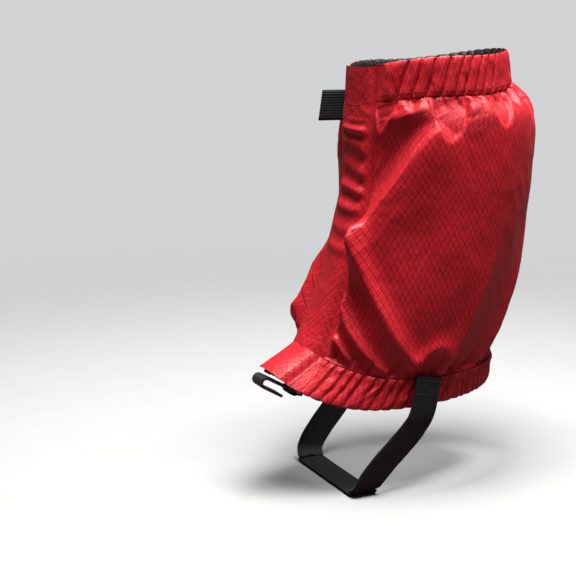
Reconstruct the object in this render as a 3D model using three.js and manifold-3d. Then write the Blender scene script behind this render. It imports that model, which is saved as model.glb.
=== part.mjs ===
// Short ankle gaiter for a left shoe, in millimetres.
// Frame: +Z up, front (toe) is -Y, the outer (lateral) side of the foot is +X. The origin is
// the middle of the instep strap's underside, where the strap lies on the ground.
import * as THREE from 'three';
import { mergeVertices } from 'three/addons/utils/BufferGeometryUtils.js';
import Module from 'manifold-3d';

const wasm = await Module();
wasm.setup();

// ---------------------------------------------------------------- driving dimensions
// Every y below is measured from the leg axis, which stands this far behind the origin.
const LEG_AXIS_Y = 66;

const FABRIC = 1.0;              // thickness of a fabric layer, seams included
const TAPE = 0.8;                // thickness of the hook tape and of the loop tape
const LAYER_GAP = 0.4;           // air between two layers that lie on each other
const SEAM_GAP = 0.5;            // air between two pieces that meet edge to edge
const CASING_DEPTH = 6.0;        // a gathered casing, from its inner skin to its outer skin
const CASING_SKIN = 0.8;
const ELASTIC = 2.0;             // thickness of the elastic inside a casing
const ELASTIC_PLAY = 1.2;        // room between the elastic's edges and the casing's

const FLAP_ROOT_X = 17;          // the flap is sewn on along this line ...
const FLAP_EDGE_X = -14;         // ... and its free edge reaches past the front centre line
const UNDERLAP_X = 14;           // the inner placket reaches this far under the flap
const TAPE_HALF = 11.5;          // hook and loop tapes are 23 mm wide

const HINGE_LOW = new THREE.Vector3(48.8, -50, 57);      // side fold line, at the hem
const HINGE_HIGH = new THREE.Vector3(57.2, -5, 282);     // side fold line, at the rim

const TAB = {
  width: 20, low: 239, thickness: 2.2, bendOut: 4.5, bendForward: 1.5, endOut: 7, endForward: 12,
};
const STRAP = { thickness: 1.6, top: 78, hem: 55, topHalf: 50, footHalf: 44, corner: 12 };
const STRAP_TOP_WIDTH = 18;
const STRAP_FOOT_WIDTH = 21;

// Levels count up the leg: -1 hem, 0 lower gathering seam, 1 upper gathering seam, 2 rim.
const HEM = -1;
const LOWER_SEAM = 0;
const UPPER_SEAM = 1;
const RIM = 2;
const FLAP_SPLIT = 8 / 13;       // above this level the flap can be peeled back by its tab
const BAND = 22;                 // height of a casing along the leg
const BODY = 185;                // height of the body panel along the leg

// One ring of the leg surface: half width across, then the (y, z) of its front and rear
// points and the height of its two sides.
function ring(halfWidth, front, side, rear) {
  return {
    plan: new THREE.Vector3(halfWidth, front[0], rear[0]),
    heights: new THREE.Vector3(front[1], side, rear[1]),
  };
}

const HEM_RING = ring(44.5, [-117, 79], 57, [48, 60]);
const BODY_RINGS = [
  ring(45.5, [-91, 93], 77, [48, 80]),
  ring(52, [-82, 108], 101, [58, 103]),
  ring(58, [-71, 135], 136, [67.5, 136]),
  ring(60, [-60, 172], 172, [71, 172]),
  ring(60.5, [-53.5, 202], 204, [72.5, 204]),
  ring(58.5, [-53.5, 234], 237, [71.5, 240]),
  ring(50.5, [-52, 252], 257.5, [53, 263]),
];
const RIM_RING = ring(50, [-51, 274], 279.5, [50.5, 285]);

const bodyPlan = new THREE.CatmullRomCurve3(BODY_RINGS.map((r) => r.plan), false, 'catmullrom');
const bodyHeights = new THREE.CatmullRomCurve3(BODY_RINGS.map((r) => r.heights), false, 'catmullrom');

function ringAt(level) {
  if (level < LOWER_SEAM) {
    return {
      plan: BODY_RINGS[0].plan.clone().lerp(HEM_RING.plan, -level),
      heights: BODY_RINGS[0].heights.clone().lerp(HEM_RING.heights, -level),
    };
  }
  if (level > UPPER_SEAM) {
    const last = BODY_RINGS[BODY_RINGS.length - 1];
    return {
      plan: last.plan.clone().lerp(RIM_RING.plan, level - UPPER_SEAM),
      heights: last.heights.clone().lerp(RIM_RING.heights, level - UPPER_SEAM),
    };
  }
  return { plan: bodyPlan.getPoint(level), heights: bodyHeights.getPoint(level) };
}

// The leg surface itself. angle is 0 at the front centre line and grows towards the outer side.
function skin(angle, level) {
  const { plan, heights } = ringAt(level);
  const [halfWidth, frontY, rearY] = plan.toArray();
  const [frontZ, sideZ, rearZ] = heights.toArray();
  const forward = Math.cos(angle);
  const x = halfWidth * Math.sin(angle);
  const y = (frontY + rearY) / 2 - ((rearY - frontY) / 2) * forward;
  const z = sideZ + (forward > 0 ? (frontZ - sideZ) * forward ** 3 : (rearZ - sideZ) * forward ** 2);
  return new THREE.Vector3(x, y, z);
}

// A point on a layer that lies offset millimetres outside the leg surface.
function onLayer(angle, level, offset) {
  const turn = 0.02;
  const step = 0.04;
  const low = Math.max(level - step, HEM);
  const high = Math.min(level + step, RIM);
  const along = skin(angle + turn, level).sub(skin(angle - turn, level));
  const up = skin(angle, high).sub(skin(angle, low));
  return skin(angle, level).addScaledVector(along.cross(up).normalize(), offset);
}

// ---------------------------------------------------------------- where the pieces end
function angleAtX(x) {
  return (level) => Math.asin(x / ringAt(level).plan.x);
}

// The side fold is a plane through the hinge line, level across the leg.
function hingeY(z) {
  const t = (z - HINGE_LOW.z) / (HINGE_HIGH.z - HINGE_LOW.z);
  return THREE.MathUtils.lerp(HINGE_LOW.y, HINGE_HIGH.y, t);
}

function angleAtHinge(gap) {
  return (level) => {
    let front = 0.3;
    let rear = 2.5;
    for (let i = 0; i < 30; i += 1) {
      const middle = (front + rear) / 2;
      const p = skin(middle, level);
      if (p.y > hingeY(p.z) + gap) rear = middle;
      else front = middle;
    }
    return (front + rear) / 2;
  };
}

const mirrored = (edge) => (level) => -edge(level);
const beforeHinge = angleAtHinge(-SEAM_GAP);
const behindHinge = angleAtHinge(SEAM_GAP);
const aroundBack = (level) => 2 * Math.PI - behindHinge(level);

// ---------------------------------------------------------------- building blocks
// All layers share the same rows, so that neighbours stay parallel: these levels, as far as
// they lie between a layer's own two ends.
const BODY_ROWS = 13;
const ROW_LEVELS = [-0.5, ...Array.from({ length: BODY_ROWS + 1 }, (_, i) => i / BODY_ROWS), 1.5];

function rowsBetween(low, high) {
  const least = 0.25 / BODY_ROWS;
  return [low, ...ROW_LEVELS.filter((level) => level > low + least && level < high - least), high];
}

// A box of cells, bent onto the leg: x runs around it, y up it and z through its thickness.
function bentBox(from, to, lowLevel, highLevel, inner, outer, around) {
  const rows = rowsBetween(lowLevel, highLevel);
  const geometry = new THREE.BoxGeometry(1, 1, 1, around, rows.length - 1, 1);
  geometry.translate(0.5, 0.5, 0.5);
  const position = geometry.attributes.position;
  for (let i = 0; i < position.count; i += 1) {
    const level = rows[Math.round(position.getY(i) * (rows.length - 1))];
    const angle = THREE.MathUtils.lerp(from(level), to(level), position.getX(i));
    const offset = THREE.MathUtils.lerp(inner, outer, position.getZ(i));
    position.setXYZ(i, ...onLayer(angle, level, offset).toArray());
  }
  return geometry;
}

function rectangle(path, left, bottom, right, top) {
  path.moveTo(left, bottom);
  path.lineTo(right, bottom);
  path.lineTo(right, top);
  path.lineTo(left, top);
  path.closePath();
  return path;
}

// A casing is a flat tube that runs around the leg, open at its two ends. Its outline is drawn
// with the leg on the right, so its x is the depth below the leg surface.
function casing(from, to, lowLevel, highLevel, around) {
  const half = CASING_DEPTH / 2;
  const wall = CASING_SKIN / BAND;
  const shape = rectangle(new THREE.Shape(), -half, lowLevel, half, highLevel);
  const hollow = [-half + CASING_SKIN, lowLevel + wall, half - CASING_SKIN, highLevel - wall];
  shape.holes.push(rectangle(new THREE.Path(), ...hollow));
  const options = { depth: 1, steps: around, bevelEnabled: false };
  const geometry = new THREE.ExtrudeGeometry(shape, options);
  const position = geometry.attributes.position;
  for (let i = 0; i < position.count; i += 1) {
    const level = position.getY(i);
    const angle = THREE.MathUtils.lerp(from(level), to(level), position.getZ(i));
    position.setXYZ(i, ...onLayer(angle, level, -position.getX(i)).toArray());
  }
  return geometry;
}

// The elastic lies loose in the middle of its casing.
function elastic(from, to, lowLevel, highLevel, around) {
  const clear = (CASING_SKIN + ELASTIC_PLAY) / BAND;
  return bentBox(from, to, lowLevel + clear, highLevel - clear, -ELASTIC / 2, ELASTIC / 2, around);
}

// The closed outline of a strip of even thickness whose middle follows a path.
function strip(path, thickness, cornerDivisions) {
  const middle = path.getPoints(cornerDivisions);
  const side = (sign) => middle.map((point, i) => {
    const before = middle[Math.max(i - 1, 0)];
    const after = middle[Math.min(i + 1, middle.length - 1)];
    const inward = point.clone().sub(before).normalize();
    const outward = after.clone().sub(point).normalize();
    const first = i === 0 ? outward : inward;
    const second = i === middle.length - 1 ? inward : outward;
    const tangent = first.clone().add(second).normalize();
    const mitre = (sign * thickness) / 2 / tangent.dot(first);
    return new THREE.Vector2(point.x - tangent.y * mitre, point.y + tangent.x * mitre);
  });
  return new THREE.Shape([...side(-1), ...side(1).reverse()]);
}

function toSolid(geometry) {
  const bare = geometry.clone();
  bare.deleteAttribute('normal');
  bare.deleteAttribute('uv');
  const merged = mergeVertices(bare, 1e-4);
  const vertProperties = Float32Array.from(merged.attributes.position.array);
  const triVerts = Uint32Array.from(merged.index.array);
  return new wasm.Manifold(new wasm.Mesh({ numProp: 3, vertProperties, triVerts }));
}

function toGeometry(solid) {
  const { vertProperties, triVerts } = solid.getMesh();
  const geometry = new THREE.BufferGeometry();
  geometry.setAttribute('position', new THREE.BufferAttribute(vertProperties, 3));
  geometry.setIndex(new THREE.BufferAttribute(triVerts, 1));
  geometry.computeVertexNormals();
  return geometry;
}

// ---------------------------------------------------------------- materials
function finish(color, roughness, metalness = 0) {
  return new THREE.MeshStandardMaterial({ color, roughness, metalness });
}

const redNylon = finish(0xb01c2a, 0.45);
const darkLining = finish(0x2a1416, 0.8);
const blackWebbing = finish(0x17171a, 0.85);
const blackTape = finish(0x101012, 0.95);
const blackElastic = finish(0x1c1c1f, 0.8);
const blackMetal = finish(0x24252a, 0.4, 0.7);

const gaiter = new THREE.Group();
const onLegAxis = new THREE.Group();
onLegAxis.position.y = LEG_AXIS_Y;
gaiter.add(onLegAxis);

function add(name, geometry, material) {
  const mesh = new THREE.Mesh(geometry, material);
  mesh.name = name;
  onLegAxis.add(mesh);
  return mesh;
}

// ---------------------------------------------------------------- leg tube
const SKIN_HALF = FABRIC / 2;
const BODY_CLEAR = SEAM_GAP / BODY;
const BAND_CLEAR = SEAM_GAP / BAND;
const lateralFrontEdge = angleAtX(FLAP_ROOT_X + SEAM_GAP);
const medialFrontEdge = angleAtX(FLAP_EDGE_X - 2 * SEAM_GAP);

// Each side of the fold lines has its own stretch of panel, casing and elastic.
const stretches = [
  { name: 'rear', from: behindHinge, to: aroundBack, around: 26 },
  { name: 'lateral', from: lateralFrontEdge, to: beforeHinge, around: 8 },
  { name: 'medial', from: mirrored(beforeHinge), to: medialFrontEdge, around: 8 },
];

for (const { name, from, to, around } of stretches) {
  const low = LOWER_SEAM + BODY_CLEAR;
  const high = UPPER_SEAM - BODY_CLEAR;
  add(`${name}_panel`, bentBox(from, to, low, high, -SKIN_HALF, SKIN_HALF, around), redNylon);
  const bands = [
    { place: 'top', bottom: UPPER_SEAM + BAND_CLEAR / 2, top: RIM },
    { place: 'bottom', bottom: HEM, top: LOWER_SEAM - BAND_CLEAR / 2 },
  ];
  for (const { place, bottom, top } of bands) {
    add(`${name}_${place}_casing`, casing(from, to, bottom, top, around), redNylon);
    add(`${name}_${place}_elastic`, elastic(from, to, bottom, top, around), blackElastic);
  }
}

// ---------------------------------------------------------------- front closure
// From the leg outwards: inner placket, loop tape, hook tape, flap.
const LOOP_INNER = SKIN_HALF + LAYER_GAP;
const HOOK_INNER = LOOP_INNER + TAPE + LAYER_GAP;
const FLAP_INNER = HOOK_INNER + TAPE + LAYER_GAP;
const FLAP_OUTER = FLAP_INNER + FABRIC;

function placketStrip(leftX, rightX, lowLevel, highLevel, inner, outer) {
  return bentBox(angleAtX(leftX), angleAtX(rightX), lowLevel, highLevel, inner, outer, 6);
}

const TAPE_END = 0.1;            // the tapes stop this part of a band short of the hem and rim
const SPLIT_GAP = 2 * BODY_CLEAR;
const underlap = [FLAP_EDGE_X - SEAM_GAP, UNDERLAP_X, HEM, RIM, -SKIN_HALF, SKIN_HALF];
add('inner_placket', placketStrip(...underlap), darkLining);

const tape = (low, high, inner) => placketStrip(-TAPE_HALF, TAPE_HALF, low, high, inner, inner + TAPE);
const tapeLow = HEM + TAPE_END;
const tapeHigh = RIM - TAPE_END;
const lowerEnd = FLAP_SPLIT - SPLIT_GAP;
add('loop_tape', tape(tapeLow, tapeHigh, LOOP_INNER), blackTape);
add('lower_hook_tape', tape(tapeLow, lowerEnd, HOOK_INNER), blackTape);
add('upper_hook_tape', tape(FLAP_SPLIT, tapeHigh, HOOK_INNER), blackTape);

const flap = (low, high) => placketStrip(FLAP_EDGE_X, FLAP_ROOT_X, low, high, FLAP_INNER, FLAP_OUTER);
add('lower_flap', flap(HEM, lowerEnd), redNylon);
add('upper_flap', flap(FLAP_SPLIT, RIM), redNylon);

// The pull tab is a doubled length of webbing that curves forwards off the flap's free edge.
function pullTab() {
  const level = UPPER_SEAM;
  const edge = onLayer(angleAtX(FLAP_EDGE_X)(level), level, FLAP_OUTER);
  const bend = { x: edge.x - TAB.bendOut, y: edge.y - TAB.bendForward };
  const end = { x: edge.x - TAB.endOut, y: edge.y - TAB.endForward };
  const path = new THREE.Path();
  path.moveTo(edge.x - TAB.thickness / 2, edge.y);
  path.quadraticCurveTo(bend.x, bend.y, end.x, end.y);
  const geometry = new THREE.ExtrudeGeometry(strip(path, TAB.thickness, 5), {
    depth: TAB.width,
    bevelEnabled: false,
  });
  geometry.translate(0, 0, TAB.low);
  return geometry;
}
add('pull_tab', pullTab(), blackWebbing);

// ---------------------------------------------------------------- lace hook
// The hook lies under the front of the hem. Its own frame has +X across the foot, +Y forwards
// along the plate and +Z up from it, with the origin on the bar that the webbing loop holds.
const HOOK = {
  width: 14, length: 24, thickness: 1.8, throat: 4.5, prong: 15, slot: 3.2, bar: 3, sideRail: 1.5,
};
// The loop's webbing thickness, seam depth and width, and its play around the hook's bar.
const LOOP = { web: 0.9, seam: 3, width: HOOK.width - 4, behind: 2.9, ahead: 0.7, aside: 1.1 };
const HOOK_PLACE = new THREE.Vector3(0, -100.5, 66.2);
const HOOK_RISE = THREE.MathUtils.degToRad(30);

function laceHook() {
  const bend = (HOOK.throat + HOOK.thickness) / 2;
  const path = new THREE.Path();
  path.moveTo(-HOOK.bar / 2, 0);
  path.lineTo(HOOK.length - bend, 0);
  path.absarc(HOOK.length - bend, -bend, bend, Math.PI / 2, -Math.PI / 2, true);
  path.lineTo(HOOK.length - bend - HOOK.prong, -2 * bend);
  const plate = new THREE.ExtrudeGeometry(strip(path, HOOK.thickness, 5), {
    depth: HOOK.width,
    bevelEnabled: false,
  });
  plate.translate(0, 0, -HOOK.width / 2);
  plate.applyMatrix4(PLATE_FRAME);
  const slot = new THREE.BoxGeometry(HOOK.width - 2 * HOOK.sideRail, HOOK.slot, 2 * HOOK.thickness);
  slot.translate(0, (HOOK.bar + HOOK.slot) / 2, 0);
  return toGeometry(toSolid(plate).subtract(toSolid(slot)));
}

// Turns an outline drawn in (forwards, up) and extruded across the foot into the hook's frame.
const PLATE_FRAME = new THREE.Matrix4().makeBasis(
  new THREE.Vector3(0, 1, 0),
  new THREE.Vector3(0, 0, 1),
  new THREE.Vector3(1, 0, 0),
);

// The webbing loop is a flat ring around the bar, with its seam end lying along the hem.
function hookLoop() {
  const { web, seam, width, behind, ahead, aside } = LOOP;
  const back = -HOOK.bar / 2 - behind;
  const front = HOOK.bar / 2 + ahead;
  const half = HOOK.thickness / 2 + aside;
  const shape = new THREE.Shape();
  rectangle(shape, back - seam, -half - web, front + web, half + web);
  shape.holes.push(rectangle(new THREE.Path(), back, -half, front, half));
  const geometry = new THREE.ExtrudeGeometry(shape, { depth: width, bevelEnabled: false });
  geometry.translate(0, 0, -width / 2);
  return geometry.applyMatrix4(PLATE_FRAME);
}

// Forwards is -Y in the gaiter's frame, so the hook's frame is turned half round and pitched up.
for (const mesh of [
  add('lace_hook', laceHook(), blackMetal),
  add('hook_loop', hookLoop(), blackWebbing),
]) {
  mesh.position.copy(HOOK_PLACE);
  mesh.rotation.set(HOOK_RISE, 0, Math.PI, 'ZYX');
}

// ---------------------------------------------------------------- instep strap
// The strap hangs as a U from the two sides of the lower seam, passes under the arch of the
// shoe and leans forwards on its way down.
function strapLean(z) {
  const topY = -24;
  const hemY = -28.5;
  const footZ = STRAP.corner + STRAP.thickness;
  if (z > STRAP.hem) return THREE.MathUtils.mapLinear(z, STRAP.hem, STRAP.top, hemY, topY);
  return THREE.MathUtils.mapLinear(Math.max(z, footZ), footZ, STRAP.hem, -LEG_AXIS_Y, hemY);
}

function instepStrap() {
  const floor = STRAP.thickness / 2;
  const { top, hem, topHalf, footHalf, corner } = STRAP;
  const path = new THREE.Path();
  path.moveTo(topHalf, top);
  path.lineTo(topHalf, hem);
  path.lineTo(footHalf, corner + floor);
  path.absarc(footHalf - corner, corner + floor, corner, 0, -Math.PI / 2, true);
  path.lineTo(-footHalf + corner, floor);
  path.absarc(-footHalf + corner, corner + floor, corner, -Math.PI / 2, -Math.PI, true);
  path.lineTo(-topHalf, hem);
  path.lineTo(-topHalf, top);
  const outline = strip(path, STRAP.thickness, 4);
  const geometry = new THREE.ExtrudeGeometry(outline, { depth: 1, bevelEnabled: false });
  const position = geometry.attributes.position;
  for (let i = 0; i < position.count; i += 1) {
    const z = position.getY(i);
    const low = THREE.MathUtils.clamp((STRAP.top - z) / (STRAP.top - STRAP.hem), 0, 1);
    const width = THREE.MathUtils.lerp(STRAP_TOP_WIDTH, STRAP_FOOT_WIDTH, low);
    const y = strapLean(z) - (position.getZ(i) - 0.5) * width;
    position.setXYZ(i, position.getX(i), y, z);
  }
  return geometry;
}
add('instep_strap', instepStrap(), blackElastic);

export default gaiter;
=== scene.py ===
import math

import bpy
import numpy as np
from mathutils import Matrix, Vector


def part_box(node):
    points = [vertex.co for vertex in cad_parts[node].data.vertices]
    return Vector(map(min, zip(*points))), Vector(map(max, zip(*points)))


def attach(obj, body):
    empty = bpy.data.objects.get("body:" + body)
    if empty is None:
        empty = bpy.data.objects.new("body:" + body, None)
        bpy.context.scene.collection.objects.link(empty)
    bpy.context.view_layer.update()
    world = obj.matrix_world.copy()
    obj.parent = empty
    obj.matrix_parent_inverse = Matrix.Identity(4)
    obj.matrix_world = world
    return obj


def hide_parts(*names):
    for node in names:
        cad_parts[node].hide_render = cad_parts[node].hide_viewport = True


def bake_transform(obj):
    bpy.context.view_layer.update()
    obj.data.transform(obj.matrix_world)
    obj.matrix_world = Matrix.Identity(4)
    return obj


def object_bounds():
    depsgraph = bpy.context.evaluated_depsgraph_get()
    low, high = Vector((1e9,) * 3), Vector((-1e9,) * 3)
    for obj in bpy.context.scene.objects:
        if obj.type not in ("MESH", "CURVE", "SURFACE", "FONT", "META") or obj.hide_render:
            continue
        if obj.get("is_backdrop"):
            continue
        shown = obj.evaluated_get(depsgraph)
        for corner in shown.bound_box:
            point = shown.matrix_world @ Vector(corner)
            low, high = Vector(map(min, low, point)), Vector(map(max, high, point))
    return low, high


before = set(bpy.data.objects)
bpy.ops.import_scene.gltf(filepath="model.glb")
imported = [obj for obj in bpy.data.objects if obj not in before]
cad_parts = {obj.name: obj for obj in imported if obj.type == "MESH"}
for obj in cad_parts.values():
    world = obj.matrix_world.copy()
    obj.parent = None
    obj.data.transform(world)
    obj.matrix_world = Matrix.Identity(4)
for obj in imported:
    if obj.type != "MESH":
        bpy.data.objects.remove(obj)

CAD_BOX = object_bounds()
MM = 0.001

# ------------------------------------------------------------------ leg surface
# The rings that the CAD panels are bent round, in millimetres from the leg axis: half width,
# front (y, z), side z, rear (y, z). Levels: -1 hem, 0 lower seam, 1 upper seam, 2 rim.
HEM_RING = (44.5, -117, 79, 57, 48, 60)
BODY_RINGS = (
    (45.5, -91, 93, 77, 48, 80),
    (52, -82, 108, 101, 58, 103),
    (58, -71, 135, 136, 67.5, 136),
    (60, -60, 172, 172, 71, 172),
    (60.5, -53.5, 202, 204, 72.5, 204),
    (58.5, -53.5, 234, 237, 71.5, 240),
    (50.5, -52, 252, 257.5, 53, 263),
)
RIM_RING = (50, -51, 274, 279.5, 50.5, 285)
LEG_AXIS_Y = 66
BODY_HEIGHT = 185         # millimetres of cloth from the lower seam to the upper seam
BAND_HEIGHT = 22          # millimetres of a casing
FLAP_ROOT_X = 17
FLAP_EDGE_X = -14
FLAP_LAP = 1.5            # the flap's root laps this far over the body cloth
UNDERLAP_X = 14
TAPE_HALF = 11.5
HEM, LOWER_SEAM, UPPER_SEAM, RIM = -1, 0, 1, 2
CLOTH = 0.45              # thickness of one layer of cloth
TAPE = 0.8


def spline(p0, p1, p2, p3, f):
    """Catmull-Rom curve through four values, at the share f of the way from the second to the third."""
    return 0.5 * (2 * p1 + (p2 - p0) * f + (2 * p0 - 5 * p1 + 4 * p2 - p3) * f**2
                  + (3 * p1 - p0 - 3 * p2 + p3) * f**3)


def rings_at(levels):
    """The six ring numbers at each level, one row each."""
    body = np.array(BODY_RINGS, float)
    last = len(body) - 1
    place = np.clip(levels, 0, 1) * last
    i = np.clip(place.astype(int), 0, last - 1)
    f = (place - i)[:, None]
    padded = np.vstack([2 * body[0] - body[1], body, 2 * body[-1] - body[-2]])
    rows = spline(*(padded[i + k] for k in range(4)), f)
    below = np.clip(-levels, 0, 1)[:, None]
    above = np.clip(levels - 1, 0, 1)[:, None]
    return rows + (np.array(HEM_RING) - body[0]) * below + (np.array(RIM_RING) - body[-1]) * above


def skin(angles, levels):
    """Points of the leg surface, in millimetres, for a table of angles with one level a row."""
    half, front_y, front_z, side_z, rear_y, rear_z = (c[:, None] for c in rings_at(levels).T)
    forward = np.cos(angles)
    x = half * np.sin(angles)
    y = (front_y + rear_y) / 2 - (rear_y - front_y) / 2 * forward + LEG_AXIS_Y
    front = (front_z - side_z) * forward**3
    rear = (rear_z - side_z) * forward**2
    return np.stack([x, y, side_z + np.where(forward > 0, front, rear)], axis=2)


def unit(vectors):
    return vectors / np.maximum(np.linalg.norm(vectors, axis=-1, keepdims=True), 1e-9)


def normals_of(points):
    return unit(np.cross(np.gradient(points, axis=1), np.gradient(points, axis=0)))


def leg_normals(angles, levels):
    """Outward normals of the leg surface itself, for rows that go up and come back down."""
    step = 0.01
    up = skin(angles, levels + step) - skin(angles, levels - step)
    across = skin(angles + step, levels) - skin(angles - step, levels)
    return unit(np.cross(across, up))


def lengths_along(points):
    """Distance travelled along a path of points, or up each column of a grid of them."""
    steps = np.linalg.norm(np.diff(points, axis=0), axis=-1)
    return np.concatenate([0 * steps[:1], np.cumsum(steps, axis=0)])


def even_angles(start, end, levels, columns):
    """Angles from start to end, spaced evenly along the cloth, one row for each level."""
    share = np.linspace(0, 1, 400)
    dense = start[:, None] + (end - start)[:, None] * share
    lengths = lengths_along(skin(dense, levels).swapaxes(0, 1)).T
    wanted = np.linspace(0, 1, columns)
    return np.stack([np.interp(wanted * l[-1], l, row) for l, row in zip(lengths, dense)])


def angle_at_x(x, levels):
    return np.arcsin(x / rings_at(levels)[:, 0])


# ------------------------------------------------------------------ small helpers
def bump(distance, width):
    return np.exp(-(distance / width) ** 2)


def smoothstep(x):
    x = np.clip(x, 0, 1)
    return x * x * (3 - 2 * x)


def smooth_min(a, b, softness):
    return -softness * np.logaddexp(-a / softness, -b / softness)


def lumps(u, v, cell_u, cell_v, seed):
    """Smooth random height between -1 and 1 over the flat cloth, in cells of the given size."""
    table = np.random.default_rng(seed).uniform(-1, 1, (64, 64))
    x, y = u / cell_u + 1000, v / cell_v + 1000
    i, j = np.floor(x).astype(int), np.floor(y).astype(int)
    f, g = smoothstep(x - i), smoothstep(y - j)
    corner = lambda a, b: table[(j + b) % 64, (i + a) % 64]
    low = corner(0, 0) * (1 - f) + corner(1, 0) * f
    high = corner(0, 1) * (1 - f) + corner(1, 1) * f
    return low * (1 - g) + high * g


def crumple(u, v, cell, seed):
    """Sharp small creases with flat facets between them, as in nylon that was stuffed in a bag."""
    total = np.zeros(np.broadcast(u, v).shape)
    for turn, size, height in ((0.5, 1.0, 1.0), (-0.7, 0.55, 0.5), (1.3, 0.36, 0.3)):
        a = u * math.cos(turn) + v * math.sin(turn)
        b = v * math.cos(turn) - u * math.sin(turn)
        field = lumps(a, b, cell * size, 1.9 * cell * size, seed)
        total += height * (0.5 - np.abs(field))
        seed += 1
    return total


# ------------------------------------------------------------------ mesh pieces
def link(name, data):
    obj = bpy.data.objects.new(name, data)
    bpy.context.scene.collection.objects.link(obj)
    return obj


def grid_faces(index):
    faces = [index[:-1, :-1], index[:-1, 1:], index[1:, 1:], index[1:, :-1]]
    return np.stack(faces, axis=2).reshape(-1, 4)


def sheet(name, points, thickness, uv, face, back=None, normals=None, turned_rows=None):
    """A closed thin sheet whose outer face is a grid of points, in millimetres. The outer face of
    turned_rows, where the cloth is folded over to the inside, gets the back material as painted shade of
    the inside."""
    rows, columns = points.shape[:2]
    normals = normals_of(points) if normals is None else normals
    inner = points - normals * thickness
    outside = np.arange(rows * columns).reshape(rows, columns)
    inside = outside + rows * columns
    loop = np.concatenate([outside[0, :], outside[1:, -1], outside[-1, -2::-1], outside[-2:0:-1, 0]])
    after = np.roll(loop, -1)
    edge = np.stack([after, loop, loop + rows * columns, after + rows * columns], axis=1)
    faces = np.concatenate([grid_faces(outside), grid_faces(inside)[:, ::-1], edge])
    mesh = bpy.data.meshes.new(name)
    vertices = np.concatenate([points.reshape(-1, 3), inner.reshape(-1, 3)]) * MM
    mesh.from_pydata(vertices.tolist(), [], faces.tolist())
    mesh.materials.append(face)
    mesh.materials.append(back or face)
    backs = np.zeros(len(faces), np.int32)
    count = (rows - 1) * (columns - 1)
    backs[count:2 * count] = 1
    # The turned rows face the leg and get the back material too: near-black painted shade of the inside.
    if turned_rows is not None:
        backs[:count].reshape(rows - 1, columns - 1)[turned_rows] = 1
    mesh.polygons.foreach_set("material_index", backs)
    corner = np.zeros(len(mesh.loops), np.int32)
    mesh.loops.foreach_get("vertex_index", corner)
    flat = np.concatenate([uv.reshape(-1, 2)] * 2)
    mesh.uv_layers.new(name="cloth").data.foreach_set("uv", flat[corner].reshape(-1).astype(np.float32))
    mesh.shade_smooth()
    both = np.concatenate([normals.reshape(-1, 3), -normals.reshape(-1, 3)])
    mesh.normals_split_custom_set_from_vertices(both.tolist())
    piece = link(name, mesh)
    return piece


def height_of(levels):
    """Millimetres of cloth up from the lower seam."""
    inside = np.clip(levels, 0, 1) * BODY_HEIGHT
    return inside + (levels - np.clip(levels, 0, 1)) * BAND_HEIGHT


def strip_points(left, right, levels, columns):
    """A grid up the front of the leg between two distances from the centre line: its points, its
    outward normals, its distances from the centre line and its heights."""
    share = np.linspace(0, 1, columns)
    start, end = angle_at_x(left, levels), angle_at_x(right, levels)
    angles = start[:, None] + (end - start)[:, None] * share
    x, v = np.broadcast_arrays(left + (right - left) * share, height_of(levels)[:, None])
    return skin(angles, levels), leg_normals(angles, levels), x, v


def follow_side(piece):
    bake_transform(piece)


def stand_for(piece, side, part):
    """The lateral piece stands for the rear stretch too, because the cloth is cut at the rear centre."""
    rear = [f"rear_{part}"] if side == "lateral" else []
    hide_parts(f"{side}_{part}", *rear)
    follow_side(piece)


def follow_flap(piece):
    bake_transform(piece)


# ------------------------------------------------------------------ body cloth
HALF_CLOTH = 205          # millimetres of cloth from the rear centre to either front edge
HALF_COLUMNS = 241
BODY_ROWS = 145
COARSE = 2                # the simulation uses every second row and column
SETTLE_FRAMES = 16
SETTLE_REACH = 4          # the simulation moves the cloth by no more than this
INNER_HOLD = 0.3          # how firmly the sculpted shape is kept away from the sewn edges
SEAM_TUCK = 0.03          # the body cloth runs this share of its height up inside the casings
MM_PER_DEGREE = 1.15      # cloth around the leg, near enough for placing folds


def cloth_columns():
    """Distance of each column from the rear centre: lateral front edge first, medial edge last."""
    half = np.linspace(-HALF_CLOTH, 0, HALF_COLUMNS)
    return np.concatenate([half, -half[-2::-1]])


def wrap_angles(levels):
    lateral = angle_at_x(FLAP_ROOT_X, levels)
    medial = 2 * math.pi + angle_at_x(FLAP_EDGE_X, levels)
    back = np.full(len(levels), math.pi)
    return np.concatenate([
        even_angles(lateral, back, levels, HALF_COLUMNS),
        even_angles(back, medial, levels, HALF_COLUMNS)[:, 1:],
    ], axis=1)


def gather(levels):
    """How much wider the flat cloth is than the leg surface."""
    upper = 0.30 * bump(1 - levels, 0.10)
    lower = 0.22 * bump(levels, 0.09)
    return 1.01 + upper + lower


# Degrees round the leg at which the elastic pulls a deep pleat. The casing and the body share
# them, so that a pleat runs through its seam; in the casing it leans back towards the fold.
UPPER_PLEATS = (38, 58, 78, 93, 108, 124, 142, 157, 175, 194, 208, 226, 243, 259, 277, 290, 308, 324)
LOWER_PLEATS = (30, 42, 53, 66, 77, 90, 103, 116, 130, 145, 160, 174, 189, 204, 219, 233, 247, 262,
                276, 290, 303, 316, 328)
PLEAT_LEAN = 7            # degrees that an upper pleat leans from the seam to the rim


def with_small_pleats(places, pitch, seed):
    """(place, depth) of the deep pleats and of the shallow ones that fill the room between them."""
    draw = np.random.default_rng(seed)
    pleats = []
    for place, after in zip(places, (*places[1:], 345)):
        pleats.append((place, draw.uniform(0.8, 1.0)))
        count = max(int(round((after - place) / pitch)), 1)
        for k in range(1, count):
            shift = draw.uniform(-0.22, 0.22)
            pleats.append((place + (after - place) * (k + shift) / count, draw.uniform(0.2, 0.6)))
    return pleats


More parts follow.
